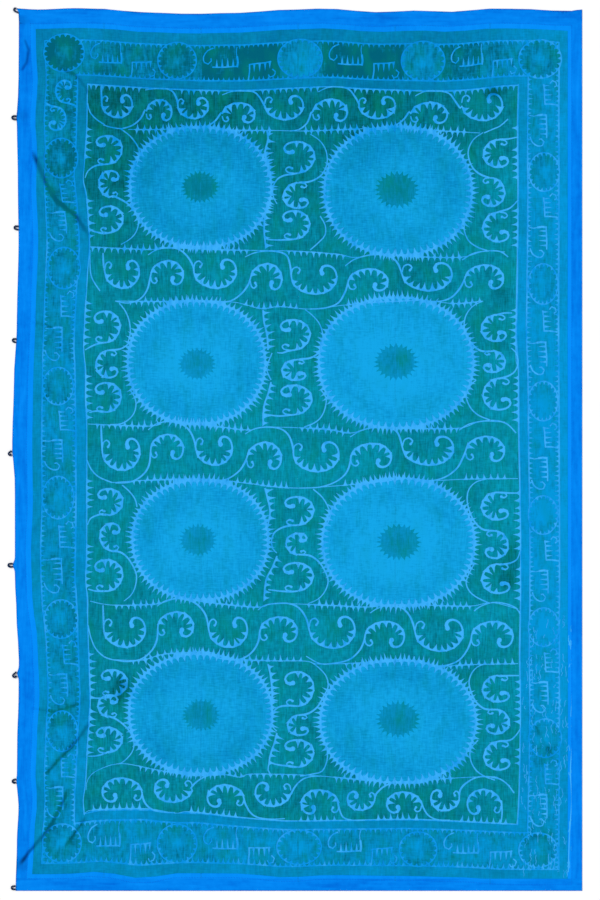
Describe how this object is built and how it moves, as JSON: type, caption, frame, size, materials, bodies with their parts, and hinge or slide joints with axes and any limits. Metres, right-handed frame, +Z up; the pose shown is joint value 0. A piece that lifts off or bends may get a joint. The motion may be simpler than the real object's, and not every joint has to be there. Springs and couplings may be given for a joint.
{
  "type": "suzani embroidered textile",
  "caption": "Large rectangular cloth embroidered with medallions, curling vine bands and a rosette border, with plain edging and small cord hanging loops along one side, laid out flat face up.",
  "frame": {"origin": "middle of the whole outline at the surface the cloth lies on", "axes": "+Z up out of the cloth's face, +Y along its length to the picture's top, +X across it to the picture's right, hanging loops on the -X side"},
  "size_m": [1.7225, 2.6483, 0.0063],
  "materials": {
    "stitched_cloth": "close silk stitching on cotton cloth, soft sheen",
    "edging_cloth": "plain woven cotton, matt",
    "loop_cord": "twisted cotton cord, matt"
  },
  "bodies": {
    "root": {"panel_1": "stitched_cloth", "panel_2": "stitched_cloth", "panel_3": "stitched_cloth", "panel_4": "stitched_cloth", "panel_5": "stitched_cloth", "panel_6": "stitched_cloth", "edging_top": "edging_cloth", "edging_bottom": "edging_cloth", "edging_left": "edging_cloth", "edging_right": "edging_cloth", "loop_1": "loop_cord", "loop_2": "loop_cord", "loop_3": "loop_cord", "loop_4": "loop_cord", "loop_5": "loop_cord", "loop_6": "loop_cord", "loop_7": "loop_cord", "loop_8": "loop_cord", "loop_9": "loop_cord"}
  },
  "joints": []
}
